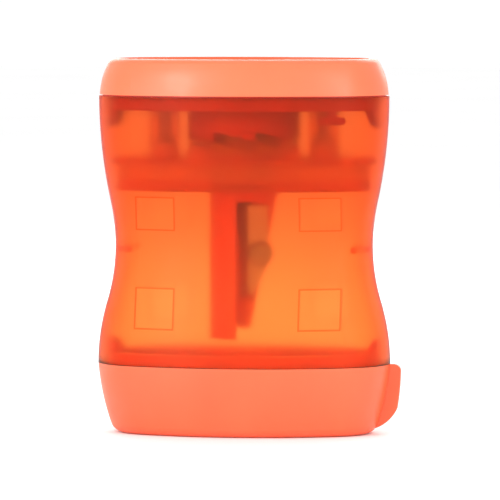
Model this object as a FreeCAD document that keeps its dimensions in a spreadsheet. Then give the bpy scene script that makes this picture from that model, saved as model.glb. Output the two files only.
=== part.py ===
import FreeCAD, Part
import os
import Sketcher

# A palm-held twist sharpener.  An oval hourglass container stands in a base cup and is closed by a top
# unit: cap, frame, bearing deck and the rotor that carries the blade.  A pencil pressed into the rotor
# closes the ratchet crown, and a spring opens it again.  The origin is the middle of the standing face,
# +Z is the pencil's axis, X is along the oval and -Y is the front.

SIZES = {
    # How far joined shapes run into each other, and cuts run past a surface
    "weld": 0.3,
    "past": 1.0,
    # The oval that every shell follows, at the seam between base and container
    "oval_half_width": 29.4,
    "oval_half_depth": 17.0,
    "oval_end_radius": 13.5,
    # Heights of the three stacked shells
    "base_height": 14.0,
    "container_height": 53.5,
    "cap_height": 7.5,
    # Container: wall, and an hourglass side made of three tangent arcs
    "wall": 1.6,
    "waist_inset": 3.5,
    "waist_height": 23.7,
    "waist_radius": 39.4,
    "mouth_inset": 0.25,
    "rib_depth": 0.8,
    "rib_height": 1.2,
    "rib_drop": 0.8,
    "panel_relief": 0.35,
    "panel_inner": 12.5,
    "panel_outer": 20.5,
    "lower_panel_bottom": 7.5,
    "lower_panel_top": 15.5,
    "upper_panel_bottom": 27.1,
    "upper_panel_top": 33.6,
    # Base cup: side arc that leans out at the seam, and a rounded foot
    "base_wall": 1.5,
    "base_lean": 4.5,
    "base_side_radius": 48.0,
    "base_foot_radius": 2.6,
    "fin_reach": 2.2,
    "fin_thickness": 1.6,
    "fin_corner": 1.4,
    "fin_knee_inset": 0.7,
    "fin_knee_height": 5.2,
    "fin_foot_radius": 7.2,
    "fin_foot_height": 0.9,
    # Cap: side arc, rounded top edge, and a top that is dished inside its rim
    "cap_inset": 0.4,
    "cap_wall": 1.7,
    "cap_plate": 2.7,
    "dish_depth": 1.0,
    "dish_rim": 0.8,
    "cap_lean": 2.5,
    "cap_side_radius": 15.0,
    "cap_edge_radius": 1.6,
    "seam_gap": 0.3,
    "lip_inset": 0.75,
    # Spigots that enter the container's two mouths, with rounded tongues at their ends
    "spigot_wall": 1.3,
    "spigot_clearance": 0.15,
    "spigot_root": 3.0,
    "base_spigot": 2.3,
    "base_tongue": 5.0,
    "frame_spigot": 2.7,
    "frame_tongue": 6.3,
    "frame_upstand": 2.6,
    "frame_plate": 1.4,
    "tongue_half_width": 4.8,
    "tee_side": 18.8,
    "tee_stem_width": 1.7,
    "tee_bar_width": 5.7,
    "tee_bar_height": 1.5,
    "tee_drop": 5.4,
    "tee_thickness": 0.9,
    # Screws between deck and frame
    "post_spread": 16.0,
    "post_radius": 2.4,
    "boss_radius": 3.0,
    "post_foot": 2.6,
    "screw_radius": 1.0,
    "screw_head_radius": 1.9,
    "screw_head_height": 1.1,
    "screw_length": 9.2,
    "screw_seat_rise": 3.8,
    "screw_play": 0.15,
    "pilot_spare": 0.4,
    # Bearing deck, measured down from the top seam
    "upper_flange_drop": 12.3,
    "lower_flange_drop": 17.5,
    "flange_thickness": 1.2,
    "flange_clearance": 0.25,
    "web_inset": 0.3,
    "web_thickness": 1.2,
    # Ratchet crown: the sleeve's teeth stand crown_gap above the hub's until the pencil is pressed
    "teeth": 8,
    "tooth_rise": 2.0,
    "crown_gap": 0.3,
    "crown_drop": 8.8,
    "step_turn": 19.5,
    "step_backlash": 0.5,
    "crown_radius": 11.2,
    "hub_well": 3.4,
    "well_width": 1.9,
    "tower_wall": 0.5,
    "tower_clearance": 0.3,
    "sleeve_root": 2.6,
    "sleeve_floor": 1.6,
    "sleeve_wall": 1.2,
    "sleeve_rise": 1.4,
    # Rotor: neck through the hub, and the cutter cone under it
    "pencil_bore": 4.3,
    "neck_wall": 1.3,
    "neck_rise": 1.2,
    "running_clearance": 0.06,
    "snug_clearance": 0.03,
    "thrust_clearance": 0.05,
    "collar_clearance": 0.5,
    "cone_top_drop": 18.5,
    "cone_length": 28.0,
    "cone_top_radius": 6.9,
    "cone_tip_radius": 1.3,
    "cone_collar": 1.6,
    "skirt_radius": 6.8,
    "skirt_wall": 1.1,
    "skirt_length": 30.0,
    "skirt_start": 85.0,
    "skirt_end": 165.0,
    "cavity_top_radius": 4.0,
    "lead_hole_radius": 0.6,
    "flat_depth": 0.3,
    "flat_top": 0.8,
    "flat_length": 19.8,
    "rotor_turn": 97.0,
    "blade_lead": 0.9,
    "blade_side": 4.7,
    "blade_point_side": 1.9,
    "blade_up": 9.9,
    "blade_down": 8.6,
    "blade_corner_down": 2.6,
    "blade_thickness": 0.7,
    "blade_bevel": 1.7,
    "blade_screw_drop": 12.8,
    "blade_screw_side": 3.3,
    "blade_screw_radius": 0.9,
    "blade_head_radius": 2.5,
    "blade_head_height": 0.9,
    "blade_head_chamfer": 0.4,
    "driver_slot_width": 0.5,
    "driver_slot_depth": 0.45,
    "blade_boss_radius": 1.9,
    "blade_boss_depth": 5.2,
    "thread_end_wall": 0.8,
    "screw_tip_gap": 0.2,
    # Clip above the sleeve's floor, washer and spring in the well under it
    "stack_gap": 0.02,
    "clip_thickness": 0.6,
    "clip_width": 1.15,
    "clip_groove": 0.4,
    "clip_opening": 70.0,
    "washer_thickness": 0.5,
    "washer_inner_play": 0.4,
    "washer_outer_play": 0.1,
    "spring_wire": 0.35,
    "spring_turns": 3.25,
    # Funnel in the cap
    "funnel_flange_radius": 9.3,
    "funnel_flange": 0.85,
    "funnel_mouth_radius": 7.4,
    "funnel_seat_radius": 8.2,
    "funnel_tube_wall": 1.1,
    "funnel_throat": 3.5,
    "funnel_tube_foot": 0.2,
    "funnel_recess_margin": 0.05,
}


def wall_at(drop):
    """The container's inner half-width at a drop below the top seam: the mouth's arc, then the waist's."""
    mouth_arc = f"mouth - upper_radius + sqrt((upper_radius - Sizes.wall) ^ 2 - ({drop}) ^ 2)"
    waist_arc = ("Sizes.oval_half_width - Sizes.waist_inset + Sizes.waist_radius"
                 f" - sqrt((Sizes.waist_radius + Sizes.wall) ^ 2 - (seam_z - ({drop}) - waist_z) ^ 2)")
    return f"({drop}) < mouth_arc_drop ? ({mouth_arc}) : ({waist_arc})"


# Values that follow from the sizes.  A side arc's centre is its own height above the shell's closed end.
FITS = {
    "end_centre": "Sizes.oval_half_width - Sizes.oval_end_radius",
    "side_radius": "(end_centre ^ 2 + Sizes.oval_half_depth ^ 2 - Sizes.oval_end_radius ^ 2)"
                   " / (2 * (Sizes.oval_half_depth - Sizes.oval_end_radius))",
    "side_centre": "side_radius - Sizes.oval_half_depth",
    "join_span": "sqrt(end_centre ^ 2 + side_centre ^ 2)",
    "waist_z": "Sizes.base_height + Sizes.waist_height",
    "seam_z": "Sizes.base_height + Sizes.container_height",
    "top_z": "seam_z + Sizes.cap_height",
    "lower_turn": "2 * atan(Sizes.waist_inset / Sizes.waist_height) / 1 deg",
    "lower_radius": "Sizes.waist_height / sin(lower_turn * 1 deg) - Sizes.waist_radius",
    "upper_turn": "2 * atan((Sizes.waist_inset - Sizes.mouth_inset)"
                  " / (Sizes.container_height - Sizes.waist_height)) / 1 deg",
    "upper_radius": "(Sizes.container_height - Sizes.waist_height) / sin(upper_turn * 1 deg)"
                    " - Sizes.waist_radius",
    "mouth": "Sizes.oval_half_width - Sizes.mouth_inset",
    "mouth_arc_drop": "(upper_radius - Sizes.wall) * sin(upper_turn * 1 deg)",
    "base_centre_x": "Sizes.oval_half_width - Sizes.base_side_radius * cos(Sizes.base_lean * 1 deg)",
    "base_centre_h": "Sizes.base_height + Sizes.base_side_radius * sin(Sizes.base_lean * 1 deg)",
    "base_mouth": "base_centre_x + sqrt((Sizes.base_side_radius - Sizes.base_wall) ^ 2"
                  " - (base_centre_h - Sizes.base_height) ^ 2)",
    "base_spigot_x": "Sizes.oval_half_width - lower_radius"
                     " + sqrt((lower_radius - Sizes.wall) ^ 2 - Sizes.base_spigot ^ 2)"
                     " - Sizes.spigot_clearance",
    "base_tongue_x": "Sizes.oval_half_width - lower_radius"
                     " + sqrt((lower_radius - Sizes.wall) ^ 2 - Sizes.base_tongue ^ 2)"
                     " - Sizes.spigot_clearance",
    "cap_mouth": "Sizes.oval_half_width - Sizes.cap_inset",
    "cap_depth": "Sizes.cap_height - Sizes.seam_gap",
    "cap_centre_x": "cap_mouth - Sizes.cap_side_radius * cos(Sizes.cap_lean * 1 deg)",
    "cap_centre_h": "cap_depth + Sizes.cap_side_radius * sin(Sizes.cap_lean * 1 deg)",
    "frame_spigot_x": f"({wall_at('Sizes.frame_spigot')}) - Sizes.spigot_clearance",
    "frame_tongue_x": f"({wall_at('Sizes.frame_tongue')}) - Sizes.spigot_clearance",
    "tee_reach": "side_radius - (Sizes.oval_half_width - frame_tongue_x)",
    "tee_turn": "asin(Sizes.tee_side / tee_reach) / 1 deg",
    "frame_top_z": "seam_z + Sizes.frame_upstand",
    "frame_upstand_x": "cap_centre_x + sqrt((Sizes.cap_side_radius - Sizes.cap_wall) ^ 2"
                       " - (cap_centre_h - (top_z - frame_top_z)) ^ 2) - Sizes.spigot_clearance",
    "frame_plate_z": "frame_top_z - Sizes.frame_plate",
    "post_foot_z": "seam_z - Sizes.post_foot",
    "upper_flange_z": "seam_z - Sizes.upper_flange_drop",
    "screw_seat_z": "upper_flange_z + Sizes.screw_seat_rise",
    "lower_flange_z": "seam_z - Sizes.lower_flange_drop",
    "upper_flange_x": f"({wall_at('Sizes.upper_flange_drop + Sizes.flange_thickness')})"
                      " - Sizes.flange_clearance",
    "lower_flange_x": f"({wall_at('Sizes.lower_flange_drop + Sizes.flange_thickness')})"
                      " - Sizes.flange_clearance",
    "crown_foot_z": "seam_z - Sizes.crown_drop",
    "crown_root_z": "crown_foot_z + Sizes.tooth_rise",
    "hub_top_z": "crown_foot_z - Sizes.crown_gap",
    "spring_seat_z": "hub_top_z - Sizes.hub_well",
    "press_travel": "Sizes.tooth_rise + Sizes.crown_gap",
    "sleeve_well_z": "crown_root_z + Sizes.sleeve_root",
    "sleeve_floor_z": "sleeve_well_z + Sizes.sleeve_floor",
    "washer_top_z": "sleeve_well_z - Sizes.stack_gap",
    "washer_foot_z": "washer_top_z - Sizes.washer_thickness",
    "tower_top_z": "sleeve_well_z - press_travel - Sizes.tower_clearance",
    "neck_radius": "Sizes.pencil_bore + Sizes.neck_wall",
    "well_radius": "neck_radius + Sizes.well_width",
    "tower_radius": "well_radius + Sizes.tower_wall",
    "sleeve_well_radius": "tower_radius + Sizes.tower_clearance",
    "washer_inner": "neck_radius + Sizes.washer_inner_play",
    "washer_outer": "well_radius - Sizes.washer_outer_play",
    "spring_radius": "(washer_inner + washer_outer) / 2",
    "cone_top_z": "seam_z - Sizes.cone_top_drop",
    "cone_tip_z": "cone_top_z - Sizes.cone_length",
    "cone_slope": "(Sizes.cone_top_radius - Sizes.cone_tip_radius) / Sizes.cone_length",
    "flat_tilt": "atan(cone_slope) / 1 deg",
    "flat_x": "Sizes.cavity_top_radius - Sizes.flat_depth",
    "seat_z": "cone_top_z - Sizes.blade_screw_drop",
    "seat_x": "flat_x - cone_slope * Sizes.blade_screw_drop",
    "dish_z": "top_z - Sizes.dish_depth",
    "funnel_seat_z": "dish_z - Sizes.funnel_flange - Sizes.funnel_recess_margin",
    "funnel_collar_z": "top_z - Sizes.cap_plate",
    "funnel_tube_radius": "Sizes.pencil_bore + Sizes.funnel_tube_wall",
}

doc = FreeCAD.newDocument("pencil_sharpener")
sheet = doc.addObject("Spreadsheet::Sheet", "Sizes")
for row, (alias, size) in enumerate(SIZES.items(), start=1):
    sheet.set(f"A{row}", alias)
    sheet.set(f"B{row}", str(size))
    sheet.setAlias(f"B{row}", alias)
doc.recompute()
fits = doc.addObject("App::VarSet", "Fits")
for fit_name, formula in FITS.items():
    fits.addProperty("App::PropertyFloat", fit_name, "Fits", "follows from the sizes")
    fits.setExpression(fit_name, formula)
    doc.recompute()

ORIGIN = FreeCAD.Vector(0, 0, 0)
UP = FreeCAD.Vector(0, 0, 1)


def value(expression):
    """What an expression comes to now, as a plain number."""
    result = sheet.evalExpression(str(expression))
    return float(getattr(result, "Value", result))


def new_body(label):
    """An empty body whose label names its node."""
    body = doc.addObject("PartDesign::Body", label)
    body.Label = label
    return body


def new_sketch(body, name, role, offset="0"):
    """A sketch on the body's own origin plane, moved along the plane's normal."""
    sketch = body.newObject("Sketcher::SketchObject", name)
    plane = next(datum for datum in body.Origin.OriginFeatures if datum.Role == role)
    sketch.AttachmentSupport = (plane, "")
    sketch.MapMode = "FlatFace"
    sketch.setExpression("AttachmentOffset.Base.z", offset)
    return sketch


def tilt_sketch(sketch, axis, angle, base=("0", "0", "0")):
    """Turn a sketch within its plane's frame by an angle in degrees, about an axis through base."""
    turn = FreeCAD.Rotation(FreeCAD.Vector(*axis), value(angle))
    sketch.AttachmentOffset = FreeCAD.Placement(ORIGIN, turn)
    sketch.setExpression("AttachmentOffset.Rotation.Angle", angle)
    for axis_name, place in zip("xyz", base):
        sketch.setExpression(f"AttachmentOffset.Base.{axis_name}", place)


def bind(sketch, constraint, expression):
    """Add a dimension and bind it to its expression."""
    index = sketch.addConstraint(constraint)
    sketch.setExpression(f"Constraints[{index}]", str(expression))


def bind_point(sketch, item, end, place):
    """Hold one end of a sketch item at two coordinates."""
    for kind, axis_line, expression in zip(("DistanceX", "DistanceY"), (-2, -1), place):
        if expression == "0":
            sketch.addConstraint(Sketcher.Constraint("PointOnObject", item, end, axis_line))
        else:
            bind(sketch, Sketcher.Constraint(kind, -1, 1, item, end, value(expression)), expression)


def arc_between(start, finish, radius, turn):
    """The short arc from start to finish: turn is 1 when it bends left and -1 when it bends right."""
    chord = finish - start
    left = FreeCAD.Vector(-chord.y, chord.x, 0).normalize()
    reach = max(radius ** 2 - chord.Length ** 2 / 4, 0) ** 0.5
    side = (left * turn).normalize()
    centre = start + chord * 0.5 + side * reach
    middle = centre - side * radius
    return Part.Arc(start, middle, finish)


def outline(sketch, points):
    """Close a loop through points (x, y), or (x, y, radius, turn) where an arc leaves the point."""
    first = sketch.GeometryCount
    corners = [FreeCAD.Vector(value(point[0]), value(point[1]), 0) for point in points]
    ends = []
    for index, point in enumerate(points):
        start, finish = corners[index], corners[(index + 1) % len(points)]
        if len(point) == 2:
            sketch.addGeometry(Part.LineSegment(start, finish))
            ends.append((1, 2))
        else:
            sketch.addGeometry(arc_between(start, finish, value(point[2]), point[3]))
            ends.append((1, 2) if point[3] > 0 else (2, 1))
    for index, point in enumerate(points):
        item = first + index
        after = (index + 1) % len(points)
        sketch.addConstraint(
            Sketcher.Constraint("Coincident", item, ends[index][1], first + after, ends[after][0]))
        bind_point(sketch, item, ends[index][0], point[:2])
        if len(point) > 2:
            bind(sketch, Sketcher.Constraint("Radius", item, value(point[2])), point[2])


def box_outline(sketch, low_x, low_y, high_x, high_y):
    """A rectangle between two corners."""
    outline(sketch, [(low_x, low_y), (high_x, low_y), (high_x, high_y), (low_x, high_y)])


def circle(sketch, x, y, radius):
    """A circle by its centre and radius."""
    middle = FreeCAD.Vector(value(x), value(y), 0)
    item = sketch.addGeometry(Part.Circle(middle, UP, value(radius)))
    bind_point(sketch, item, 3, (x, y))
    bind(sketch, Sketcher.Constraint("Radius", item, value(radius)), radius)


def oval(sketch, inset):
    """The shells' oval, moved inward by inset: two end arcs and two side arcs, tangent to each other."""
    end = f"(Sizes.oval_end_radius - ({inset}))"
    side = f"(Fits.side_radius - ({inset}))"
    far_x = f"Sizes.oval_half_width - ({inset})"
    join_x = f"Fits.end_centre * (1 + {end} / Fits.join_span)"
    join_y = f"{end} * Fits.side_centre / Fits.join_span"
    outline(sketch, [
        (far_x, "0", end, 1), (join_x, join_y, side, 1), (f"-({join_x})", join_y, end, 1),
        (f"-({far_x})", "0", end, 1), (f"-({join_x})", f"-({join_y})", side, 1),
        (join_x, f"-({join_y})", end, 1)])


def add_pad(body, sketch, length, both_ways=False, backward=False):
    """Extrude a sketch along its normal."""
    pad = body.newObject("PartDesign::Pad", sketch.Name + "_pad")
    pad.Profile = sketch
    pad.setExpression("Length", length)
    pad.Midplane = both_ways
    pad.Reversed = backward
    return pad


def add_pocket(body, sketch, length, both_ways=False, backward=False):
    """Cut a sketch's outline out of the body, and make sure that the cut takes something away."""
    doc.recompute()
    before = body.Shape.Volume
    pocket = body.newObject("PartDesign::Pocket", sketch.Name + "_pocket")
    pocket.Profile = sketch
    pocket.setExpression("Length", length)
    pocket.Midplane = both_ways
    pocket.Reversed = backward
    doc.recompute()
    if body.Shape.Volume >= before:
        raise ValueError(f"{sketch.Label} cuts nothing out of {body.Label}")
    return pocket


def add_turned(body, sketch, cut=False):
    """Revolve a sketch about its own vertical axis, as material or as a groove."""
    kind = "PartDesign::Groove" if cut else "PartDesign::Revolution"
    turned = body.newObject(kind, sketch.Name + "_turned")
    turned.Profile = sketch
    turned.ReferenceAxis = (sketch, ["V_Axis"])
    turned.Angle = 360
    return turned


def add_wall(body, name, points):
    """Carry a wall's section, drawn at the oval's +X end, round the whole oval."""
    path = new_sketch(body, name + "_path", "XY_Plane")
    oval(path, "0")
    section = new_sketch(body, name + "_section", "XZ_Plane")
    outline(section, points)
    doc.recompute()
    wall = body.newObject("PartDesign::AdditivePipe", name)
    wall.Profile = section
    wall.Spine = (path, [f"Edge{edge + 1}" for edge in range(len(path.Shape.Edges))])
    doc.recompute()
    return wall


def add_plate(body, name, inset, low_z, thickness):
    """A flat oval plate."""
    plate = new_sketch(body, name, "XY_Plane", low_z)
    oval(plate, inset)
    return add_pad(body, plate, thickness)


def add_turned_section(body, name, points, cut=False):
    """A ring or plug whose half-section is drawn in the XZ plane."""
    section = new_sketch(body, name, "XZ_Plane")
    outline(section, points)
    return add_turned(body, section, cut)


def cut_crown(body, name, inner, low_z, high_z, turn):
    """Cut a sawtooth crown: a box sweeps down a left-handed helix for one tooth, and is repeated."""
    ramp = new_sketch(body, name, "XZ_Plane")
    box_outline(ramp, inner, low_z, "Sizes.crown_radius + Sizes.past", high_z)
    tilt_sketch(ramp, (0, 1, 0), turn)
    doc.recompute()
    before = body.Shape.Volume
    helix = body.newObject("PartDesign::SubtractiveHelix", ramp.Name + "_helix")
    helix.Profile = ramp
    helix.ReferenceAxis = (ramp, ["V_Axis"])
    helix.Mode = "pitch-height-angle"
    helix.setExpression("Pitch", "Sizes.tooth_rise * Sizes.teeth")
    helix.setExpression("Height", "Sizes.tooth_rise")
    helix.LeftHanded = True
    helix.Reversed = True
    doc.recompute()
    pattern = body.newObject("PartDesign::PolarPattern", ramp.Name + "_pattern")
    pattern.Originals = [helix]
    pattern.Axis = (ramp, ["V_Axis"])
    pattern.Angle = 360
    pattern.setExpression("Occurrences", "Sizes.teeth")
    body.Tip = pattern
    doc.recompute()
    if body.Shape.Volume >= before:
        raise ValueError(f"{ramp.Label} cuts no teeth")


def bowl_section(mouth_x, depth, centre_x, centre_h, radius, edge_radius, wall, closed_z, sign):
    """Where the flat of a shallow cup's closed end begins, and the section of the cup's wall.

    Heights are measured from the closed end at closed_z: upward when sign is 1, downward when it is -1.
    """
    def place(height):
        return f"{closed_z} + {sign} * ({height})"

    sine = f"((({centre_h}) - {edge_radius}) / ({radius} - {edge_radius}))"
    cosine = f"sqrt(1 - {sine} ^ 2)"
    flat_x = f"{centre_x} + ({radius} - {edge_radius}) * {cosine}"
    foot_x = f"{centre_x} + {radius} * {cosine}"
    foot_h = f"{centre_h} - {radius} * {sine}"
    inner_foot_x = f"{centre_x} + sqrt(({radius} - {wall}) ^ 2 - ({centre_h} - {wall}) ^ 2)"
    inner_mouth_x = f"{centre_x} + sqrt(({radius} - {wall}) ^ 2 - ({centre_h} - {depth}) ^ 2)"
    edge_x = f"{flat_x} - Sizes.weld"
    return flat_x, [
        (mouth_x, place(depth), radius, -sign), (foot_x, place(foot_h), edge_radius, -sign),
        (flat_x, place("0")), (edge_x, place("0")), (edge_x, place(wall)),
        (inner_foot_x, place(wall), f"{radius} - {wall}", sign), (inner_mouth_x, place(depth))]


def hourglass(depth, going_up):
    """Points up or down the container's side, at a depth inside its outer face."""
    half = "Sizes.oval_half_width"
    low_r = f"(Fits.lower_radius - ({depth}))"
    high_r = f"(Fits.upper_radius - ({depth}))"
    waist_r = f"(Sizes.waist_radius + ({depth}))"
    low_x = f"{half} - Fits.lower_radius + {low_r} * cos(Fits.lower_turn * 1 deg)"
    low_z = f"Sizes.base_height + {low_r} * sin(Fits.lower_turn * 1 deg)"
    high_x = f"Fits.mouth - Fits.upper_radius + {high_r} * cos(Fits.upper_turn * 1 deg)"
    high_z = f"Fits.seam_z - {high_r} * sin(Fits.upper_turn * 1 deg)"
    foot = (f"{half} - ({depth})", "Sizes.base_height")
    mouth = (f"Fits.mouth - ({depth})", "Fits.seam_z")
    if going_up:
        return [foot + (low_r, 1), (low_x, low_z, waist_r, -1), (high_x, high_z, high_r, 1), mouth]
    return [mouth + (high_r, -1), (high_x, high_z, waist_r, 1), (low_x, low_z, low_r, -1), foot]


def cut_tongues(body, name, shoulder_z, tongue_height, direction):
    """Cut a spigot's long skirt back to a rounded tongue at each end of the oval."""
    half, rise = "Sizes.tongue_half_width", f"({tongue_height})"
    radius = f"({half} ^ 2 + {rise} ^ 2) / (2 * {rise})"
    far_y = "Sizes.oval_half_depth"
    past_z = f"{shoulder_z} + {direction} * ({tongue_height} + Sizes.past)"
    section = new_sketch(body, name, "YZ_Plane")
    tip = f"{shoulder_z} + {direction} * {rise}"
    turn = -direction
    outline(section, [
        (f"-{far_y}", shoulder_z), (f"-{half}", shoulder_z, radius, turn), ("0", tip, radius, turn),
        (half, shoulder_z), (far_y, shoulder_z), (far_y, past_z), (f"-{far_y}", past_z)])
    add_pocket(body, section, "4 * Sizes.oval_half_width", both_ways=True)


def make_base_cup():
    """The cup that the container stands in, with a flat fin at its +X end to pull it off by."""
    body = new_body("base_cup")
    floor_x, wall = bowl_section(
        "Sizes.oval_half_width", "Sizes.base_height", "Fits.base_centre_x", "Fits.base_centre_h",
        "Sizes.base_side_radius", "Sizes.base_foot_radius", "Sizes.base_wall", "0", 1)
    add_wall(body, "cup_wall", wall)
    add_plate(body, "cup_floor", f"Sizes.oval_half_width - ({floor_x})", "0", "Sizes.base_wall")
    inner = "Fits.base_tongue_x - Sizes.spigot_wall"
    shoulder = "Sizes.base_height + Sizes.base_spigot"
    root = "Fits.base_mouth + Sizes.base_wall / 2"
    root_z = "Sizes.base_height - Sizes.spigot_root"
    add_wall(body, "base_spigot", [
        (inner, root_z), (root, root_z), (root, "Sizes.base_height"),
        ("Fits.base_spigot_x", "Sizes.base_height"), ("Fits.base_spigot_x", shoulder),
        ("Fits.base_tongue_x", shoulder), ("Fits.base_tongue_x", "Sizes.base_height + Sizes.base_tongue"),
        (inner, "Sizes.base_height + Sizes.base_tongue")])
    cut_tongues(body, "base_tongues", shoulder, "Sizes.base_tongue - Sizes.base_spigot", 1)
    reach = "Sizes.oval_half_width + Sizes.fin_reach"
    knee_x = f"{reach} - Sizes.fin_knee_inset"
    root_radius = "(Sizes.base_side_radius - Sizes.base_wall / 2)"
    fin_root = f"Fits.base_centre_x + sqrt({root_radius} ^ 2 - (Fits.base_centre_h - Sizes.base_height) ^ 2)"
    foot_x = ("Fits.base_centre_x"
              f" + sqrt({root_radius} ^ 2 - (Fits.base_centre_h - Sizes.fin_foot_height) ^ 2)")
    fin = new_sketch(body, "pull_fin", "XZ_Plane")
    outline(fin, [
        (foot_x, "Sizes.fin_foot_height", "Sizes.fin_foot_radius", 1),
        (knee_x, "Sizes.fin_knee_height", "Sizes.base_side_radius", 1),
        (reach, "Sizes.base_height - Sizes.fin_corner", "Sizes.fin_corner", 1),
        (f"{reach} - Sizes.fin_corner", "Sizes.base_height"),
        (fin_root, "Sizes.base_height", root_radius, -1)])
    add_pad(body, fin, "Sizes.fin_thickness", both_ways=True)
    doc.recompute()
    return body


def make_container():
    """The hourglass shell, open at both ends, with a rib inside each end of its waist."""
    body = new_body("container_shell")
    add_wall(body, "side_wall", hourglass("0", True) + hourglass("Sizes.wall", False))
    waist_r = "(Sizes.oval_end_radius - Sizes.waist_inset - Sizes.wall)"
    half_y = "Sizes.tongue_half_width"
    ribs = new_sketch(
        body, "waist_ribs", "XY_Plane", "Fits.waist_z - Sizes.rib_height / 2 - Sizes.rib_drop")
    outer_r, inner_r = f"({waist_r} + Sizes.weld)", f"({waist_r} - Sizes.rib_depth)"
    for sign in (1, -1):
        outer_x = f"{sign} * (Fits.end_centre + sqrt({outer_r} ^ 2 - {half_y} ^ 2))"
        inner_x = f"{sign} * (Fits.end_centre + sqrt({inner_r} ^ 2 - {half_y} ^ 2))"
        outline(ribs, [
            (outer_x, f"-{half_y}", outer_r, sign), (outer_x, half_y),
            (inner_x, half_y, inner_r, -sign), (inner_x, f"-{half_y}")])
    add_pad(body, ribs, "Sizes.rib_height")
    layer = new_body("panel_layer")
    add_wall(layer, "panel_wall", hourglass("Sizes.wall - Sizes.panel_relief", True)
             + hourglass("Sizes.wall + Sizes.past", False))
    panels = new_body("panel_blocks")
    windows = new_sketch(panels, "panel_windows", "XZ_Plane")
    for low, high in (("lower_panel_bottom", "lower_panel_top"), ("upper_panel_bottom", "upper_panel_top")):
        low_z, high_z = f"Sizes.base_height + Sizes.{low}", f"Sizes.base_height + Sizes.{high}"
        box_outline(windows, "Sizes.panel_inner", low_z, "Sizes.panel_outer", high_z)
        box_outline(windows, "-Sizes.panel_outer", low_z, "-Sizes.panel_inner", high_z)
    add_pad(panels, windows, "2 * (Sizes.oval_half_depth + Sizes.past)", both_ways=True)
    doc.recompute()
    recesses = doc.addObject("Part::Common", "panel_recesses")
    recesses.Base, recesses.Tool = layer, panels
    container = doc.addObject("Part::Cut", "container")
    container.Base, container.Tool = body, recesses
    doc.recompute()
    return container


def make_cap_shell():
    """The cap: a shallow cup turned over, dished on top, with a stepped hole for the funnel."""
    body = new_body("cap_shell")
    plate_x, wall = bowl_section(
        "Fits.cap_mouth", "Fits.cap_depth", "Fits.cap_centre_x", "Fits.cap_centre_h",
        "Sizes.cap_side_radius", "Sizes.cap_edge_radius", "Sizes.cap_wall", "Fits.top_z", -1)
    add_wall(body, "cap_wall", wall)
    inset = f"Sizes.oval_half_width - ({plate_x})"
    add_plate(body, "cap_plate", inset, "Fits.funnel_collar_z", "Sizes.cap_plate")
    dish = new_sketch(body, "cap_dish", "XY_Plane", "Fits.dish_z")
    oval(dish, f"{inset} + Sizes.dish_rim")
    add_pocket(body, dish, "Sizes.dish_depth + Sizes.past", backward=True)
    seat_r = "Sizes.funnel_flange_radius + Sizes.funnel_recess_margin"
    hole_r = "Sizes.funnel_seat_radius + Sizes.funnel_recess_margin"
    add_turned_section(body, "funnel_recess", [
        ("0", "Fits.funnel_collar_z - Sizes.past"), (hole_r, "Fits.funnel_collar_z - Sizes.past"),
        (hole_r, "Fits.funnel_seat_z"), (seat_r, "Fits.funnel_seat_z"),
        (seat_r, "Fits.top_z"), ("0", "Fits.top_z")], cut=True)
    doc.recompute()
    return body


def make_funnel():
    """The pencil's lead-in: a flange in the cap's recess, a cone and a straight throat."""
    body = new_body("pencil_funnel")
    flange_z = "Fits.funnel_seat_z + Sizes.funnel_flange"
    foot_z = "Fits.frame_plate_z - Sizes.funnel_tube_foot"
    throat_z = f"{foot_z} + Sizes.funnel_throat"
    add_turned_section(body, "funnel_section", [
        ("Sizes.pencil_bore", foot_z), ("Fits.funnel_tube_radius", foot_z),
        ("Fits.funnel_tube_radius", "Fits.funnel_collar_z"),
        ("Sizes.funnel_seat_radius", "Fits.funnel_collar_z"),
        ("Sizes.funnel_seat_radius", "Fits.funnel_seat_z"),
        ("Sizes.funnel_flange_radius", "Fits.funnel_seat_z"), ("Sizes.funnel_flange_radius", flange_z),
        ("Sizes.funnel_mouth_radius", flange_z), ("Sizes.pencil_bore", throat_z)])
    doc.recompute()
    return body


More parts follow.
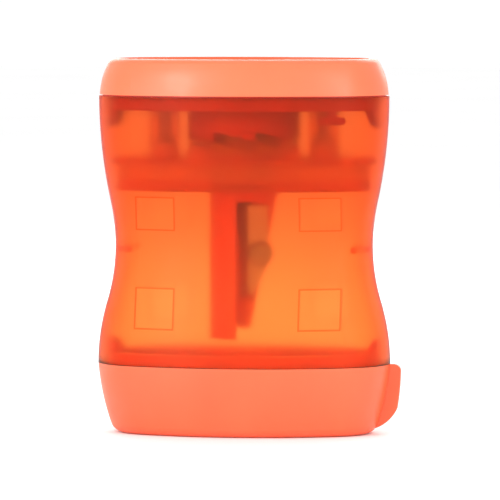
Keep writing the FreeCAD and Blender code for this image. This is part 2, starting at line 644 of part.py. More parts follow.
def make_cap_frame():
    """The inner frame: lip in the seam, spigot and tongues below it, posts for the deck's screws."""
    body = new_body("cap_frame")
    inner = "Fits.frame_tongue_x - Sizes.spigot_wall"
    shoulder = "Fits.seam_z - Sizes.frame_spigot"
    tongue_z = "Fits.seam_z - Sizes.frame_tongue"
    lip_x, lip_z = "Fits.mouth - Sizes.lip_inset", "Fits.seam_z + Sizes.seam_gap"
    add_wall(body, "frame_wall", [
        (inner, tongue_z), ("Fits.frame_tongue_x", tongue_z), ("Fits.frame_tongue_x", shoulder),
        ("Fits.frame_spigot_x", shoulder), ("Fits.frame_spigot_x", "Fits.seam_z"),
        (lip_x, "Fits.seam_z"), (lip_x, lip_z), ("Fits.frame_upstand_x", lip_z),
        ("Fits.frame_upstand_x", "Fits.frame_top_z"), (inner, "Fits.frame_top_z")])
    cut_tongues(body, "frame_tongues", shoulder, "Sizes.frame_tongue - Sizes.frame_spigot", -1)
    add_plate(body, "frame_plate", f"Sizes.oval_half_width - ({inner}) - Sizes.weld",
              "Fits.frame_plate_z", "Sizes.frame_plate")
    posts = new_sketch(body, "posts", "XY_Plane", "Fits.post_foot_z")
    for place in ("Sizes.post_spread", "-Sizes.post_spread"):
        circle(posts, place, "0", "Sizes.post_radius")
    add_pad(body, posts, "Fits.frame_top_z - Fits.post_foot_z")
    turn = "Fits.tee_turn * 1 deg"
    tee = new_sketch(body, "tee_tab", "XZ_Plane")
    tilt_sketch(tee, (0, 1, 0), "Fits.tee_turn",
                ("Sizes.tee_side", "0", f"Fits.tee_reach * cos({turn}) - Fits.side_centre"))
    stem, bar = "Sizes.tee_stem_width / 2", "Sizes.tee_bar_width / 2 - Sizes.tee_bar_height / 2"
    bar_low, bar_high = "Fits.seam_z - Sizes.tee_drop", "Fits.seam_z - Sizes.tee_drop + Sizes.tee_bar_height"
    round_end = "Sizes.tee_bar_height / 2"
    root_z = f"{shoulder} + Sizes.past"
    outline(tee, [
        (f"-({bar})", bar_low), (bar, bar_low, round_end, 1),
        (f"{bar} + {round_end}", f"{bar_low} + {round_end}", round_end, 1), (bar, bar_high),
        (stem, bar_high), (stem, root_z), (f"-({stem})", root_z), (f"-({stem})", bar_high),
        (f"-({bar})", bar_high, round_end, 1),
        (f"-({bar}) - {round_end}", f"{bar_low} + {round_end}", round_end, 1)])
    add_pad(body, tee, "Sizes.tee_thickness", backward=True)
    doc.recompute()
    hole = new_sketch(body, "funnel_hole", "XY_Plane", "Fits.frame_plate_z - Sizes.past")
    circle(hole, "0", "0", "Fits.funnel_tube_radius + Sizes.spigot_clearance")
    add_pocket(body, hole, "Sizes.frame_plate + 2 * Sizes.past", backward=True)
    pilots = new_sketch(body, "screw_pilots", "XY_Plane", "Fits.post_foot_z - Sizes.past")
    for place in ("Sizes.post_spread", "-Sizes.post_spread"):
        circle(pilots, place, "0", "Sizes.screw_radius + Sizes.snug_clearance")
    add_pocket(body, pilots, "Sizes.screw_length - (Fits.post_foot_z - Fits.screw_seat_z)"
               " + Sizes.pilot_spare + Sizes.past", backward=True)
    return body


def make_bearing_deck():
    """Two thin oval flanges joined by a web, with the rotor's hub, its teeth and the spring's tower."""
    body = new_body("bearing_deck")
    half = "Sizes.oval_half_width"
    web_outer = "Fits.lower_flange_x - Sizes.web_inset"
    web_inner = f"{web_outer} - Sizes.web_thickness"
    low_z, high_z = "Fits.lower_flange_z - Sizes.flange_thickness", "Fits.upper_flange_z"
    web_low, web_high = f"{low_z} + Sizes.weld", f"{high_z} - Sizes.weld"
    add_plate(body, "lower_flange", f"{half} - Fits.lower_flange_x", low_z, "Sizes.flange_thickness")
    add_wall(body, "deck_web", [
        (web_inner, web_low), (web_outer, web_low), (web_outer, web_high), (web_inner, web_high)])
    add_plate(body, "upper_flange", f"{half} - Fits.upper_flange_x",
              f"{high_z} - Sizes.flange_thickness", "Sizes.flange_thickness")
    bosses = new_sketch(body, "bosses", "XY_Plane", f"{high_z} - Sizes.weld")
    for place in ("Sizes.post_spread", "-Sizes.post_spread"):
        circle(bosses, place, "0", "Sizes.boss_radius")
    add_pad(body, bosses, f"Fits.post_foot_z - {high_z} + Sizes.weld")
    doc.recompute()
    collar = "Sizes.cone_top_radius + Sizes.collar_clearance"
    collar_z = "Fits.cone_top_z + Sizes.thrust_clearance"
    bore = "Fits.neck_radius + Sizes.running_clearance"
    below_z, above_z = f"{low_z} - Sizes.past", "Fits.tower_top_z + Sizes.past"
    add_turned_section(body, "hub", [
        ("0", low_z), ("Sizes.crown_radius", low_z), ("Sizes.crown_radius", "Fits.hub_top_z"),
        ("Fits.tower_radius", "Fits.hub_top_z"), ("Fits.tower_radius", "Fits.tower_top_z"),
        ("0", "Fits.tower_top_z")])
    doc.recompute()
    add_turned_section(body, "hub_bore", [
        ("0", below_z), (collar, below_z), (collar, collar_z), (bore, collar_z),
        (bore, "Fits.spring_seat_z"), ("Fits.well_radius", "Fits.spring_seat_z"),
        ("Fits.well_radius", above_z), ("0", above_z)], cut=True)
    doc.recompute()
    holes = new_sketch(body, "screw_holes", "XY_Plane", below_z)
    for place in ("Sizes.post_spread", "-Sizes.post_spread"):
        circle(holes, place, "0", "Sizes.screw_radius + Sizes.screw_play")
    add_pocket(body, holes, f"Fits.post_foot_z - ({low_z}) + 2 * Sizes.past", backward=True)
    access = new_sketch(body, "driver_wells", "XY_Plane", below_z)
    for place in ("Sizes.post_spread", "-Sizes.post_spread"):
        circle(access, place, "0", "Sizes.screw_head_radius + Sizes.spigot_clearance")
    add_pocket(body, access, f"Fits.screw_seat_z - ({low_z}) + Sizes.past", backward=True)
    cut_crown(body, "hub_teeth", "Fits.tower_radius + Sizes.tower_clearance / 2", "Fits.hub_top_z",
              "Fits.hub_top_z + Sizes.tooth_rise + Sizes.past", "Sizes.step_turn")
    return body


def make_deck_screws():
    """Two screws up the deck's bosses into the frame's posts."""
    head_z = "Fits.screw_seat_z"
    screws = []
    for name, side in (("right", ""), ("left", "-")):
        body = new_body(f"deck_screw_{name}")
        head = new_sketch(body, f"head_{name}", "XY_Plane", f"{head_z} - Sizes.screw_head_height")
        circle(head, f"{side}Sizes.post_spread", "0", "Sizes.screw_head_radius")
        add_pad(body, head, "Sizes.screw_head_height")
        shank = new_sketch(body, f"shank_{name}", "XY_Plane", f"{head_z} - Sizes.weld")
        circle(shank, f"{side}Sizes.post_spread", "0", "Sizes.screw_radius")
        add_pad(body, shank, "Sizes.screw_length + Sizes.weld")
        screws.append(body)
    doc.recompute()
    pair = doc.addObject("Part::Compound", "deck_screws")
    pair.Links = screws
    doc.recompute()
    return pair


def make_ratchet_sleeve():
    """The rotor's crown: downward teeth round the spring's well, a floor, and a wall above it."""
    body = new_body("ratchet_sleeve")
    bore = "Fits.neck_radius + Sizes.snug_clearance"
    wall_x = "Sizes.crown_radius - Sizes.sleeve_wall"
    top_z = "Fits.sleeve_floor_z + Sizes.sleeve_rise"
    add_turned_section(body, "sleeve_section", [
        (bore, "Fits.sleeve_well_z"), ("Fits.sleeve_well_radius", "Fits.sleeve_well_z"),
        ("Fits.sleeve_well_radius", "Fits.crown_foot_z"), ("Sizes.crown_radius", "Fits.crown_foot_z"),
        ("Sizes.crown_radius", top_z), (wall_x, top_z), (wall_x, "Fits.sleeve_floor_z"),
        (bore, "Fits.sleeve_floor_z")])
    cut_crown(body, "sleeve_teeth", "Fits.well_radius", "Fits.crown_foot_z - Sizes.past",
              "Fits.crown_root_z", "Sizes.step_turn - Sizes.step_backlash")
    return body


def seat_sketch(body, name):
    """A sketch on the blade's seat, with its origin at the blade screw and its normal into the cone."""
    sketch = new_sketch(body, name, "YZ_Plane")
    tilt_sketch(sketch, (-1, 0, 0), "Fits.flat_tilt",
                ("-Sizes.blade_screw_side", "Fits.seat_z", "-Fits.seat_x"))
    return sketch


def turn_rotor_part(body):
    """Set a rotor piece's own placement: turned about the pencil's axis."""
    body.Placement = FreeCAD.Placement(ORIGIN, FreeCAD.Rotation(UP, value("Sizes.rotor_turn")))
    body.setExpression("Placement.Rotation.Angle", "Sizes.rotor_turn")


def make_cutter_cone():
    """The cone round the pencil's point, a curved skirt beside it, and the neck that runs in the hub."""
    body = new_body("cutter_cone")
    neck_top = "Fits.sleeve_floor_z + Sizes.neck_rise"
    groove_x = "Fits.neck_radius - Sizes.clip_groove"
    groove_top = "Fits.sleeve_floor_z + Sizes.clip_thickness + Sizes.thrust_clearance"
    collar_z = "Fits.cone_top_z - Sizes.cone_collar"
    collar_x = "Sizes.cone_top_radius - Fits.cone_slope * Sizes.cone_collar"
    add_turned_section(body, "cone_section", [
        ("0", "Fits.cone_tip_z"), ("Sizes.cone_tip_radius", "Fits.cone_tip_z"), (collar_x, collar_z),
        ("Sizes.cone_top_radius", collar_z), ("Sizes.cone_top_radius", "Fits.cone_top_z"),
        ("Fits.neck_radius", "Fits.cone_top_z"), ("Fits.neck_radius", "Fits.sleeve_floor_z"),
        (groove_x, "Fits.sleeve_floor_z"), (groove_x, groove_top), ("Fits.neck_radius", groove_top),
        ("Fits.neck_radius", neck_top), ("0", neck_top)])
    boss = seat_sketch(body, "screw_boss")
    circle(boss, "0", "0", "Sizes.blade_boss_radius")
    add_pad(body, boss, "Sizes.blade_boss_depth")
    doc.recompute()
    point_drop = "(Sizes.cavity_top_radius - Sizes.lead_hole_radius) / Fits.cone_slope"
    add_turned_section(body, "pencil_cavity", [
        ("0", "Fits.cone_tip_z - Sizes.past"), ("Sizes.lead_hole_radius", "Fits.cone_tip_z - Sizes.past"),
        ("Sizes.lead_hole_radius", f"Fits.cone_top_z - {point_drop}"),
        ("Sizes.cavity_top_radius", "Fits.cone_top_z"),
        ("Sizes.pencil_bore", "Fits.cone_top_z + Sizes.past"),
        ("Sizes.pencil_bore", f"{neck_top} + Sizes.past"), ("0", f"{neck_top} + Sizes.past")], cut=True)
    doc.recompute()
    flat = new_sketch(body, "blade_flat", "XZ_Plane")
    high_z = "Fits.cone_top_z - Sizes.cone_collar - Sizes.flat_top"
    low_z = f"{high_z} - Sizes.flat_length"
    past_x = "-2 * Sizes.cone_top_radius"
    outline(flat, [
        (past_x, low_z), (f"-(Fits.flat_x - Fits.cone_slope * (Fits.cone_top_z - ({low_z})))", low_z),
        (f"-(Fits.flat_x - Fits.cone_slope * (Fits.cone_top_z - ({high_z})))", high_z),
        (past_x, high_z)])
    add_pocket(body, flat, "4 * Sizes.cone_top_radius", both_ways=True)
    skirt = new_sketch(body, "skirt", "XY_Plane", "Fits.cone_top_z - Sizes.skirt_length")
    inner = "(Sizes.skirt_radius - Sizes.skirt_wall)"
    start, end = "Sizes.skirt_start * 1 deg", "Sizes.skirt_end * 1 deg"
    outline(skirt, [
        (f"Sizes.skirt_radius * cos({start})", f"Sizes.skirt_radius * sin({start})",
         "Sizes.skirt_radius", 1),
        (f"Sizes.skirt_radius * cos({end})", f"Sizes.skirt_radius * sin({end})"),
        (f"{inner} * cos({end})", f"{inner} * sin({end})", inner, -1),
        (f"{inner} * cos({start})", f"{inner} * sin({start})")])
    add_pad(body, skirt, "Sizes.skirt_length - Sizes.weld")
    doc.recompute()
    thread = seat_sketch(body, "screw_thread")
    circle(thread, "0", "0", "Sizes.blade_screw_radius + Sizes.snug_clearance")
    add_pocket(body, thread, "Sizes.blade_boss_depth - Sizes.thread_end_wall", backward=True)
    turn_rotor_part(body)
    doc.recompute()
    return body


def make_blade():
    """A ground steel blade on the cone's flat, its edge over the cavity's slot."""
    body = new_body("blade")
    side = "Sizes.blade_screw_side"
    edge = f"{side} + Sizes.blade_lead"
    plate = seat_sketch(body, "blade_plate")
    outline(plate, [
        (edge, "Sizes.blade_up"), (f"{side} - Sizes.blade_side", "Sizes.blade_up"),
        (f"{side} - Sizes.blade_side", "-Sizes.blade_corner_down"),
        (f"{side} - Sizes.blade_point_side", "-Sizes.blade_down"), (edge, "-Sizes.blade_down")])
    add_pad(body, plate, "Sizes.blade_thickness", backward=True)
    bevel = new_sketch(body, "blade_bevel", "XY_Plane")
    tilt_sketch(bevel, (0, -1, 0), "Fits.flat_tilt", ("-Fits.seat_x", "0", "Fits.seat_z"))
    heel, outside = "Sizes.blade_lead - Sizes.blade_bevel", "-Sizes.blade_thickness - Sizes.past"
    past = "Sizes.blade_lead + Sizes.past"
    outline(bevel, [
        ("-Sizes.blade_thickness", heel), (outside, heel), (outside, past), ("0", past),
        ("0", "Sizes.blade_lead")])
    add_pocket(body, bevel, "4 * Sizes.blade_up", both_ways=True)
    hole = seat_sketch(body, "blade_hole")
    circle(hole, "0", "0", "Sizes.blade_screw_radius + Sizes.screw_play")
    add_pocket(body, hole, "4 * Sizes.blade_thickness", both_ways=True)
    turn_rotor_part(body)
    doc.recompute()
    return body


def make_blade_screw():
    """The screw that clamps the blade: a low round head with a slot, and a shank into the boss."""
    body = new_body("blade_screw")
    section = new_sketch(body, "blade_screw_section", "XZ_Plane")
    tilt_sketch(section, (0, 0, 1), "90 + Fits.flat_tilt",
                ("-Fits.seat_x", "Fits.seat_z", "Sizes.blade_screw_side"))
    shank_end = "-(Sizes.blade_boss_depth - Sizes.thread_end_wall - Sizes.screw_tip_gap)"
    head_top = "Sizes.blade_thickness + Sizes.blade_head_height"
    outline(section, [
        ("0", shank_end), ("Sizes.blade_screw_radius", shank_end),
        ("Sizes.blade_screw_radius", "Sizes.blade_thickness"),
        ("Sizes.blade_head_radius", "Sizes.blade_thickness"),
        ("Sizes.blade_head_radius", f"{head_top} - Sizes.blade_head_chamfer"),
        ("Sizes.blade_head_radius - Sizes.blade_head_chamfer", head_top), ("0", head_top)])
    add_turned(body, section)
    slot = seat_sketch(body, "driver_slot")
    half_slot = "Sizes.driver_slot_width / 2"
    box_outline(slot, "-Sizes.blade_head_radius", f"-({half_slot})", "Sizes.blade_head_radius", half_slot)
    slot_floor = f"({head_top} - Sizes.driver_slot_depth)"
    slot.setExpression(
        "AttachmentOffset.Base.z", f"-(Fits.seat_x + {slot_floor} * cos(Fits.flat_tilt * 1 deg))")
    slot.setExpression(
        "AttachmentOffset.Base.y", f"Fits.seat_z - {slot_floor} * sin(Fits.flat_tilt * 1 deg)")
    add_pocket(body, slot, "Sizes.blade_head_height")
    turn_rotor_part(body)
    doc.recompute()
    return body


def make_retaining_clip():
    """An open ring in the neck's groove that holds the sleeve and the cone together."""
    body = new_body("retaining_clip")
    inner = "Fits.neck_radius - Sizes.clip_groove + Sizes.snug_clearance"
    foot_z, clip_top = "Fits.sleeve_floor_z + Sizes.stack_gap", "Fits.sleeve_floor_z + Sizes.clip_thickness"
    add_turned_section(body, "clip_section", [
        (inner, foot_z), (f"{inner} + Sizes.clip_width", foot_z),
        (f"{inner} + Sizes.clip_width", clip_top), (inner, clip_top)])
    doc.recompute()
    opening = new_sketch(body, "clip_gap", "XY_Plane", "Fits.sleeve_floor_z - Sizes.past")
    far = "Sizes.crown_radius"
    spread = f"{far} * tan(Sizes.clip_opening / 2 * 1 deg)"
    outline(opening, [("0", "0"), (far, f"-({spread})"), (far, spread)])
    add_pocket(body, opening, "Sizes.clip_thickness + 2 * Sizes.past", backward=True)
    return body


def make_spring_washer():
    """A flat ring between the turning sleeve and the spring that does not turn."""
    body = new_body("spring_washer")
    add_turned_section(body, "washer_section", [
        ("Fits.washer_inner", "Fits.washer_foot_z"), ("Fits.washer_outer", "Fits.washer_foot_z"),
        ("Fits.washer_outer", "Fits.washer_top_z"), ("Fits.washer_inner", "Fits.washer_top_z")])
    doc.recompute()
    return body


def make_ratchet_spring():
    """A coil in the hub's well that lifts the rotor until the crown's teeth stand clear."""
    helix = doc.addObject("Part::Helix", "spring_path")
    wire = doc.addObject("Part::Circle", "spring_wire")
    end_margin = "(Sizes.spring_wire + Sizes.stack_gap)"
    height = f"(Fits.washer_foot_z - Fits.spring_seat_z - 2 * {end_margin})"
    helix.setExpression("Radius", "Fits.spring_radius")
    helix.setExpression("Height", height)
    helix.setExpression("Pitch", f"{height} / Sizes.spring_turns")
    helix.SegmentLength = 1
    wire.setExpression("Radius", "Sizes.spring_wire")
    wire.Placement = FreeCAD.Placement(ORIGIN, FreeCAD.Rotation(FreeCAD.Vector(1, 0, 0), 90))
    wire.setExpression("Placement.Base.x", "Fits.spring_radius")
    doc.recompute()
    spring = doc.addObject("Part::Sweep", "ratchet_spring")
    spring.Sections = [wire]
    spring.Spine = (helix, [])
    spring.Solid = True
    spring.Frenet = True
    spring.setExpression("Placement.Base.z", f"Fits.spring_seat_z + {end_margin}")
    doc.recompute()
    return spring


nodes = [
    make_base_cup(), make_container(), make_cap_shell(), make_funnel(), make_cap_frame(),
    make_bearing_deck(), make_deck_screws(), make_ratchet_sleeve(), make_retaining_clip(),
    make_spring_washer(), make_ratchet_spring(), make_cutter_cone(), make_blade(), make_blade_screw()]
doc.recompute()
for item in doc.Objects:
    if "Invalid" in item.State or "Error" in item.State:
        raise ValueError(f"{item.Label} failed: {item.State}")
for node in nodes:
    if node.Shape.isNull() or not node.Shape.isValid():
        raise ValueError(f"{node.Label} has no valid shape")
os.makedirs("parts", exist_ok=True)
for node in nodes:
    node.Shape.exportStep(f"parts/{node.Label}.step")
    size = node.Shape.BoundBox
    print(f"{node.Label}: {len(node.Shape.Solids)} solid(s), {node.Shape.Volume:.0f} mm3,"
          f" z {size.ZMin:.2f} to {size.ZMax:.2f}, x {size.XMin:.2f} to {size.XMax:.2f}")
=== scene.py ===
import math

import bpy
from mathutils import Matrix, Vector


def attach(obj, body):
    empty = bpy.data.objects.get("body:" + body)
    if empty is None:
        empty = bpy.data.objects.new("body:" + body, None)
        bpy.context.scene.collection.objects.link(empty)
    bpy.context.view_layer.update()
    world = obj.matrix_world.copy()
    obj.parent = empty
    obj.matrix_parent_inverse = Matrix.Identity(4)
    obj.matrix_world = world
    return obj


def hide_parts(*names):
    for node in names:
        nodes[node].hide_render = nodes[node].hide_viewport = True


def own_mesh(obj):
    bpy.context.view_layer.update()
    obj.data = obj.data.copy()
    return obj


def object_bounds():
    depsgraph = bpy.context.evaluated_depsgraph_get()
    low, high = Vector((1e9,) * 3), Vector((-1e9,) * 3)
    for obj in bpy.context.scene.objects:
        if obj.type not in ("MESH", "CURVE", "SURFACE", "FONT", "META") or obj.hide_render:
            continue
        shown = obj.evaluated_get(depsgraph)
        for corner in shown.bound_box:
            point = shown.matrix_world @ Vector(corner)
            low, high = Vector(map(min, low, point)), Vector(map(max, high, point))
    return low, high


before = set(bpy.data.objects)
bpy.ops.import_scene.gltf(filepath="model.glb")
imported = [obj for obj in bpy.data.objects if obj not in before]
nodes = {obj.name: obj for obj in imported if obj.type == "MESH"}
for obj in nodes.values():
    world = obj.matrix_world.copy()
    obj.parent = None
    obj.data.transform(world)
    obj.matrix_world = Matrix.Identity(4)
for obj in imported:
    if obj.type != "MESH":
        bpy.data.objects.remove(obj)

cad_low, cad_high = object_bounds()


# ---------------------------------------------------------------------------------------------------
# Base cup.  An injection-moulded polypropylene cup in opaque coral, satin outside, that the container
# stands in.  Its flat fin at one end is moulded with it, to pull the cup off by.

def start_material(name):
    """A new node material: its tree, its principled shader and its object coordinates."""
    material = bpy.data.materials.new(name)
    material.use_nodes = True
    tree = material.node_tree
    shader = tree.nodes["Principled BSDF"]
    place = tree.nodes.new("ShaderNodeTexCoord")
    return material, tree, shader, place.outputs["Object"]


def add_noise(tree, place, scale, detail=3.0, stretch=(1, 1, 1)):
    """Noise over the piece, in features per metre; stretch shrinks the pattern along an axis."""
    mapping = tree.nodes.new("ShaderNodeMapping")
    mapping.inputs["Scale"].default_value = stretch
    noise = tree.nodes.new("ShaderNodeTexNoise")
    noise.inputs["Scale"].default_value = scale
    noise.inputs["Detail"].default_value = detail
    tree.links.new(place, mapping.inputs["Vector"])
    tree.links.new(mapping.outputs["Vector"], noise.inputs["Vector"])
    return noise.outputs["Fac"]


def add_ramp(tree, factor, stops):
    """A colour ramp through (position, colour) stops."""
    ramp = tree.nodes.new("ShaderNodeValToRGB")
    while len(ramp.color_ramp.elements) < len(stops):
        ramp.color_ramp.elements.new(0.5)
    for element, (position, colour) in zip(ramp.color_ramp.elements, stops):
        element.position = position
        element.color = (*colour, 1)
    tree.links.new(factor, ramp.inputs["Fac"])
    return ramp.outputs["Color"]


def add_range(tree, factor, low, high):
    """Map a 0.3 to 0.7 noise onto a range of values."""
    spread = tree.nodes.new("ShaderNodeMapRange")
    spread.inputs["From Min"].default_value = 0.3
    spread.inputs["From Max"].default_value = 0.7
    spread.inputs["To Min"].default_value = low
    spread.inputs["To Max"].default_value = high
    tree.links.new(factor, spread.inputs["Value"])
    return spread.outputs["Result"]


def add_bump(tree, shader, height, strength, distance):
    """Raise the surface by a height pattern; distance is in metres."""
    bump = tree.nodes.new("ShaderNodeBump")
    bump.inputs["Strength"].default_value = strength
    bump.inputs["Distance"].default_value = distance
    tree.links.new(height, bump.inputs["Height"])
    tree.links.new(bump.outputs["Normal"], shader.inputs["Normal"])


def moulded_plastic(name, dark, light, roughness, subsurface=0.0):
    """Satin moulded plastic: faint flow marks in the colour, fine spark-eroded grain on the surface."""
    material, tree, shader, place = start_material(name)
    flow = add_noise(tree, place, 60, 4, (1, 1, 0.35))
    colour = add_ramp(tree, flow, [(0.3, dark), (0.7, light)])
    tree.links.new(colour, shader.inputs["Base Color"])
    grain = add_noise(tree, place, 2600, 2)
    rubbed = add_noise(tree, place, 240, 5)
    tree.links.new(add_range(tree, rubbed, roughness - 0.05, roughness + 0.06), shader.inputs["Roughness"])
    add_bump(tree, shader, grain, 0.25, 0.00003)
    shader.inputs["IOR"].default_value = 1.49
    if subsurface:
        shader.inputs["Subsurface Weight"].default_value = subsurface
        shader.inputs["Subsurface Radius"].default_value = (1.0, 0.35, 0.15)
        shader.inputs["Subsurface Scale"].default_value = 0.0015
    return material


def finish_node(name, material):
    """Give a CAD node its material on every slot."""
    for slot in nodes[name].material_slots:
        slot.material = material


# Painted shade: the cup's coral is darker than the cap's, for the lower light on the base.
finish_node("base_cup", moulded_plastic(
    "coral_base_plastic_painted_shade", (0.84, 0.112, 0.038), (0.91, 0.130, 0.046), 0.42, 0.10))

# ---------------------------------------------------------------------------------------------------
# Container.  One see-through shell in orange polystyrene, drawn in at the waist for the grip and lightly
# hazed, with four moulded panels.  Fine dark lines along the panels' edges are painted shade, and so is
# the shell's darkening towards the top, under the cap.

def math_node(tree, operation, first, second=None):
    """One arithmetic step; each operand is a number or a socket."""
    node = tree.nodes.new("ShaderNodeMath")
    node.operation = operation
    for socket, operand in zip(node.inputs, (first, second)):
        if isinstance(operand, bpy.types.NodeSocket):
            tree.links.new(operand, socket)
        elif operand is not None:
            socket.default_value = operand
    return node.outputs["Value"]


def mix_colour(tree, factor, first, second, blend="MIX"):
    """Mix two colours; the factor is a number or a socket, and each colour a socket or a plain colour."""
    mix = tree.nodes.new("ShaderNodeMix")
    mix.data_type = "RGBA"
    mix.blend_type = blend
    if isinstance(factor, bpy.types.NodeSocket):
        tree.links.new(factor, mix.inputs["Factor"])
    else:
        mix.inputs["Factor"].default_value = factor
    sockets = [item for item in mix.inputs if item.type == "RGBA"]
    for socket, colour in zip(sockets, (first, second)):
        if isinstance(colour, bpy.types.NodeSocket):
            tree.links.new(colour, socket)
        else:
            socket.default_value = (*colour, 1)
    return next(item for item in mix.outputs if item.type == "RGBA")


def split_place(tree, place):
    """The object coordinates as separate X, Y and Z sockets."""
    split = tree.nodes.new("ShaderNodeSeparateXYZ")
    tree.links.new(place, split.inputs["Vector"])
    return split.outputs


def shade_by_height(tree, place, colour, stops):
    """Multiply a colour by a ramp up the object, to paint shade that changes with height; stops are (height
    in metres, colour), up to 80 mm.
    """
    ramp_reach = 0.080
    height = math_node(tree, "MULTIPLY", split_place(tree, place)["Z"], 1 / ramp_reach)
    ramp = add_ramp(tree, height, [(stop_z / ramp_reach, tint) for stop_z, tint in stops])
    return mix_colour(tree, 1, colour, ramp, "MULTIPLY")


def panel_edge_shade_mask(tree, place, across, spans, line):
    """A mask of the panels' edges at both ends of the oval, where their shade is painted; across and spans
    are (low, high) limits.
    """
    axes = split_place(tree, place)
    off_x = distance_past(tree, math_node(tree, "ABSOLUTE", axes["X"]), across)
    mask = None
    for span in spans:
        beyond = math_node(tree, "MAXIMUM", off_x, distance_past(tree, axes["Z"], span))
        edge = math_node(tree, "LESS_THAN", math_node(tree, "ABSOLUTE", beyond), line)
        mask = edge if mask is None else math_node(tree, "MAXIMUM", mask, edge)
    return mask


def distance_past(tree, value, limits):
    """How far a value lies outside its limits, or less than nothing inside them."""
    middle, half = (limits[0] + limits[1]) / 2, (limits[1] - limits[0]) / 2
    off_middle = math_node(tree, "ABSOLUTE", math_node(tree, "SUBTRACT", value, middle))
    return math_node(tree, "SUBTRACT", off_middle, half)


def clear_plastic(name, tint, clarity, index, roughness, depth_tint, density):
    """See-through plastic: tinted at its faces and through its depth, and softly hazed."""
    material, tree, shader, place = start_material(name)
    shader.inputs["Transmission Weight"].default_value = clarity
    shader.inputs["IOR"].default_value = index
    flow = add_noise(tree, place, 70, 3, (1, 1, 0.4))
    colour = add_ramp(tree, flow, [(0.3, [0.94 * part for part in tint]), (0.7, tint)])
    tree.links.new(colour, shader.inputs["Base Color"])
    frost = add_noise(tree, place, 180, 4)
    tree.links.new(add_range(tree, frost, roughness - 0.03, roughness + 0.03), shader.inputs["Roughness"])
    add_bump(tree, shader, add_noise(tree, place, 1500, 2), 0.12, 0.00002)
    absorber = tree.nodes.new("ShaderNodeVolumeAbsorption")
    absorber.inputs["Color"].default_value = (*depth_tint, 1)
    absorber.inputs["Density"].default_value = density
    tree.links.new(absorber.outputs["Volume"], tree.nodes["Material Output"].inputs["Volume"])
    return material, tree, shader, place, colour


hazed, tree, shader, place, colour = clear_plastic(
    "orange_hazed_shell", (0.99, 0.60, 0.27), 0.975, 1.14, 0.40, (0.97, 0.42, 0.12), 330)
# Painted shade: the shell darkens towards the top, where the cap keeps the light from behind off it.
colour = shade_by_height(tree, place, colour, [(0.0272, (1.0, 1.0, 1.0)), (0.0496, (0.96, 0.74, 0.70))])
panel_across = (0.0125, 0.0205)
panel_heights = ((0.0215, 0.0295), (0.0411, 0.0476))
lines = panel_edge_shade_mask(tree, place, panel_across, panel_heights, 0.00013)
# Painted shade: the panels' edges are darkened into fine lines, for the shade at the panels' steps.
panel_edge_shade_tint = (0.80, 0.20, 0.05)
colour = mix_colour(tree, math_node(tree, "MULTIPLY", lines, 0.75), colour, panel_edge_shade_tint)
tree.links.new(colour, shader.inputs["Base Color"])
finish_node("container", hazed)

# ---------------------------------------------------------------------------------------------------
# Bearing deck.  Moulded in the same orange as the container but milkier, with two thin oval flanges, a
# hub whose top edge is the fixed half of the ratchet's crown, and two bosses for its screws.

milky, tree, shader, place, colour = clear_plastic(
    "orange_milky_deck", (1.0, 0.72, 0.38), 0.72, 1.18, 0.60, (1.0, 0.50, 0.18), 70)
# Painted shade: all but the web between the flanges is tinted darker, for the shade at the flanges' edges
# and under the cap.
web_tint, flange_shade_tint, hub_shade_tint = (1.0, 1.0, 1.0), (0.99, 0.70, 0.60), (1.0, 0.9, 0.85)
colour = shade_by_height(tree, place, colour, [
    (0.0488, flange_shade_tint), (0.0504, flange_shade_tint), (0.05136, web_tint), (0.05376, web_tint),
    (0.0544, flange_shade_tint), (0.05536, flange_shade_tint), (0.056, hub_shade_tint)])
tree.links.new(colour, shader.inputs["Base Color"])
finish_node("bearing_deck", milky)

# ---------------------------------------------------------------------------------------------------
# Cap frame, cap and funnel.  Coral polypropylene mouldings that push together.  The frame's coral is painted
# darker as shade under the cap, and its band, tongues and tee tab go down inside the container's mouth.

# Painted shade: the frame's coral is darker than the cap's, for the shade under the cap.
coral_frame = moulded_plastic("coral_frame_plastic_painted_shade", (0.44, 0.020, 0.010), (0.52, 0.028, 0.014), 0.45)
finish_node("cap_frame", coral_frame)
coral_cap = moulded_plastic("coral_cap_plastic", (0.88, 0.150, 0.060), (0.95, 0.172, 0.070), 0.36, 0.10)
finish_node("cap_shell", coral_cap)
finish_node("pencil_funnel", coral_cap)

# ---------------------------------------------------------------------------------------------------
# Rotor.  The toothed sleeve sits on the neck of the cutter cone, and both are moulded in coral, the sleeve
# painted darker as shade under the cap.  The cone carries the blade on its flat and a skirt that guards
# the blade's edge.

# Painted shade: the sleeve's coral is darker than the cone's, for the shade under the cap.
finish_node("ratchet_sleeve", moulded_plastic(
    "coral_sleeve_plastic_painted_shade", (0.50, 0.028, 0.012), (0.60, 0.040, 0.018), 0.45))
finish_node("cutter_cone", moulded_plastic(
    "coral_cone_plastic", (0.80, 0.145, 0.045), (0.90, 0.175, 0.060), 0.42))

# ---------------------------------------------------------------------------------------------------
# Blade, screws, washer and clip.  The blade is ground carbon steel and its screw and the deck's two are
# plated.  The washer and the clip are stamped from bright spring steel, and the clip snaps into a groove.

def brushed_steel(name, dark, light, roughness, stretch):
    """Bare steel with fine grinding lines across it."""
    material, tree, shader, place = start_material(name)
    lines = add_noise(tree, place, 900, 3, stretch)
    colour = add_ramp(tree, lines, [(0.3, dark), (0.7, light)])
    tree.links.new(colour, shader.inputs["Base Color"])
    shader.inputs["Metallic"].default_value = 1.0
    tree.links.new(add_range(tree, lines, roughness - 0.06, roughness + 0.08), shader.inputs["Roughness"])
    add_bump(tree, shader, lines, 0.2, 0.00002)
    return material


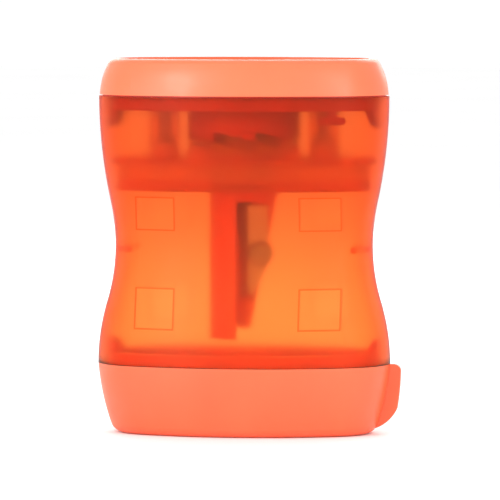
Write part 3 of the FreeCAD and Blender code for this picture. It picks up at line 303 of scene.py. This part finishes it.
finish_node("blade", brushed_steel("ground_blade_steel", (0.56, 0.55, 0.55), (0.74, 0.73, 0.73), 0.34,
                                   (1, 1, 12)))
plated = brushed_steel("plated_screw_steel", (0.42, 0.42, 0.43), (0.62, 0.62, 0.63), 0.3, (1, 1, 1))
finish_node("blade_screw", plated)
finish_node("deck_screws", plated)
wire = brushed_steel("spring_wire_steel", (0.40, 0.40, 0.42), (0.66, 0.66, 0.68), 0.22, (1, 1, 6))
finish_node("spring_washer", wire)
finish_node("retaining_clip", wire)

# ---------------------------------------------------------------------------------------------------
# Ratchet spring.  A cylindrical coil of spring steel wire, wound cold and dropped over the deck's tower.
# It stands on the deck and shortens by the cutter's travel as the pencil is pressed in.

spring = bpy.data.objects.new("ratchet_spring_coil", nodes["ratchet_spring"].data.copy())
bpy.context.scene.collection.objects.link(spring)
spring.data.materials.clear()
spring.data.materials.append(wire)
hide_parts("ratchet_spring")
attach(spring, "top_unit")
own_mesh(spring)

# ---------------------------------------------------------------------------------------------------
# Floor, light and camera.  A sheet of white paper, wide enough to have no edge in view, under an even white
# sky.  Two tall softboxes in front give the cap its soft highlights, and a broad one behind lights the shell
# through.  The camera stands a metre off, a little to the right of the front, with a long lens.

floor_mesh = bpy.data.meshes.new("studio_floor")
reach = 40 * (cad_high[2] - cad_low[2])
floor_mesh.from_pydata(
    [(-reach, -reach, 0), (reach, -reach, 0), (reach, reach, 0), (-reach, reach, 0)], [], [(0, 1, 2, 3)])
floor = bpy.data.objects.new("studio_floor", floor_mesh)
bpy.context.scene.collection.objects.link(floor)
paper, tree, shader, place = start_material("white_paper_floor")
tone = add_ramp(tree, add_noise(tree, place, 8, 2), [(0.3, (0.96, 0.96, 0.96)), (0.7, (0.98, 0.98, 0.98))])
tree.links.new(tone, shader.inputs["Base Color"])
shader.inputs["Roughness"].default_value = 0.9
floor_mesh.materials.append(paper)

bpy.context.scene.view_settings.view_transform = "Standard"
world = bpy.data.worlds.new("studio_world")
world.use_nodes = True
world.node_tree.nodes["Background"].inputs["Color"].default_value = (1, 1, 1, 1)
world.node_tree.nodes["Background"].inputs["Strength"].default_value = 1.03
bpy.context.scene.world = world


def add_softbox(name, place, aim, size, power):
    """A rectangular studio light that faces a point."""
    light = bpy.data.lights.new(name, "AREA")
    light.shape = "RECTANGLE"
    light.size, light.size_y = size
    light.energy = power
    lamp = bpy.data.objects.new(name, light)
    lamp.location = place
    lamp.rotation_euler = (Vector(aim) - Vector(place)).to_track_quat("-Z", "Y").to_euler()
    bpy.context.scene.collection.objects.link(lamp)


middle = (0, 0, cad_high[2] / 2)
add_softbox("left_softbox", (-0.33, -0.45, 0.22), middle, (0.12, 0.5), 1.9)
add_softbox("right_softbox", (0.45, -0.40, 0.22), middle, (0.16, 0.5), 1.2)
add_softbox("back_softbox", (0.0, 0.6, 0.35), middle, (0.8, 0.5), 3.0)

camera_data = bpy.data.cameras.new("photo_camera")
camera = bpy.data.objects.new("photo_camera", camera_data)
bpy.context.scene.collection.objects.link(camera)
distance, swing = 1.02, math.radians(7)
camera.location = (distance * math.sin(swing), -distance * math.cos(swing), 0.098)
target = Vector((0.0012, 0, 0.0366))
camera.rotation_euler = (target - camera.location).to_track_quat("-Z", "Y").to_euler()
camera_data.sensor_width = 36
width_in_view = 0.100
camera_data.lens = camera_data.sensor_width * distance / width_in_view
bpy.context.scene.camera = camera
